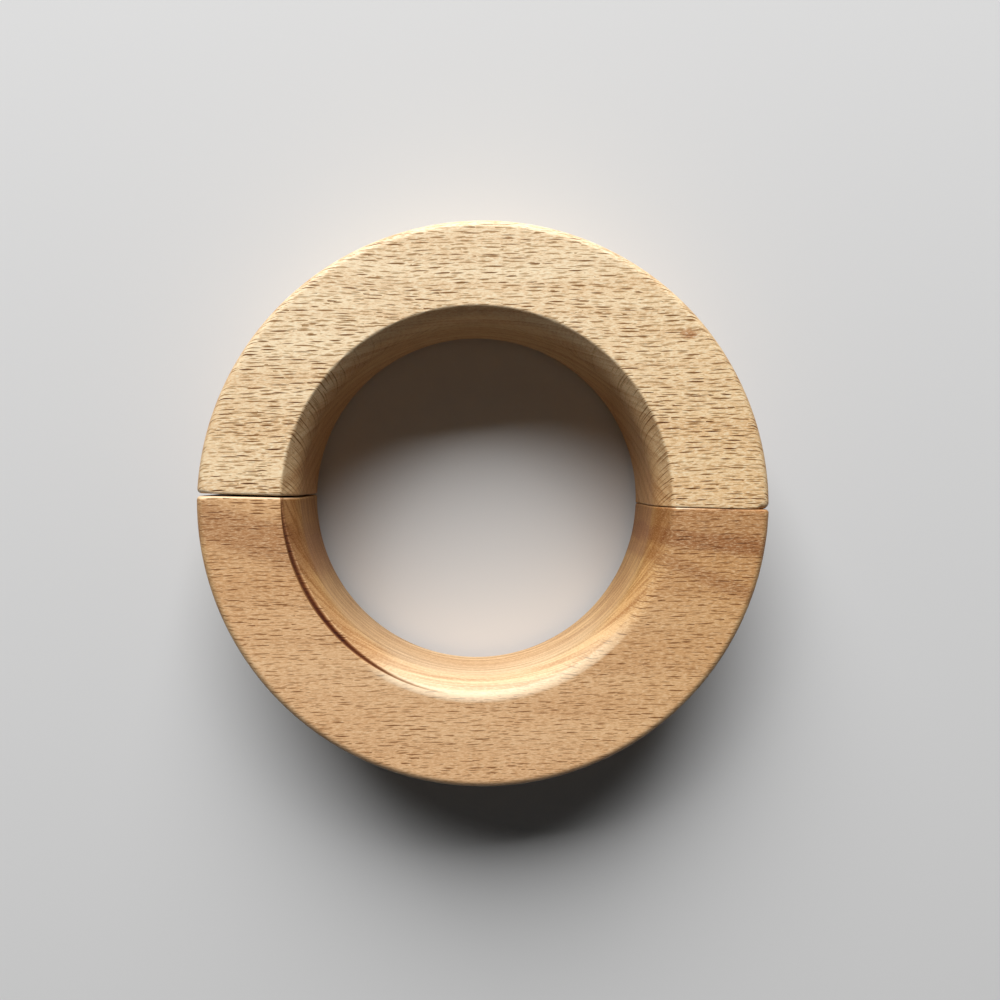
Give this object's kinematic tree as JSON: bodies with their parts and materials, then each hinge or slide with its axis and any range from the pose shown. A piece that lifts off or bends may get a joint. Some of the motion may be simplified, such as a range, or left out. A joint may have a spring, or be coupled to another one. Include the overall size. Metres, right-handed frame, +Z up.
{
  "type": "magnetic curtain tieback",
  "caption": "Flat beech ring with a bevelled bore, sawn across into halves that magnets in their ends hold together round a gathered curtain.",
  "frame": {"origin": "middle of the ring on the face that it lies on", "axes": "+Z up through the bore, +X along the sawn joint to the right, +Y from the front half to the rear half"},
  "size_m": [0.12, 0.1188, 0.025],
  "materials": {
    "front_beech": "reddish beech, sanded and oiled, satin",
    "rear_beech": "pale beech with dark flecks, sanded and oiled, satin",
    "magnet_plating": "bright nickel plating"
  },
  "bodies": {
    "front": {"front_half": "front_beech", "front_left_magnet": "magnet_plating", "front_right_magnet": "magnet_plating"},
    "rear": {"rear_half": "rear_beech", "rear_left_magnet": "magnet_plating", "rear_right_magnet": "magnet_plating"}
  },
  "joints": [
    {"name": "pull_apart", "type": "slide", "parent": "front", "child": "rear", "axis": [0, 1, 0], "range_m": [0, 0.08]}
  ]
}
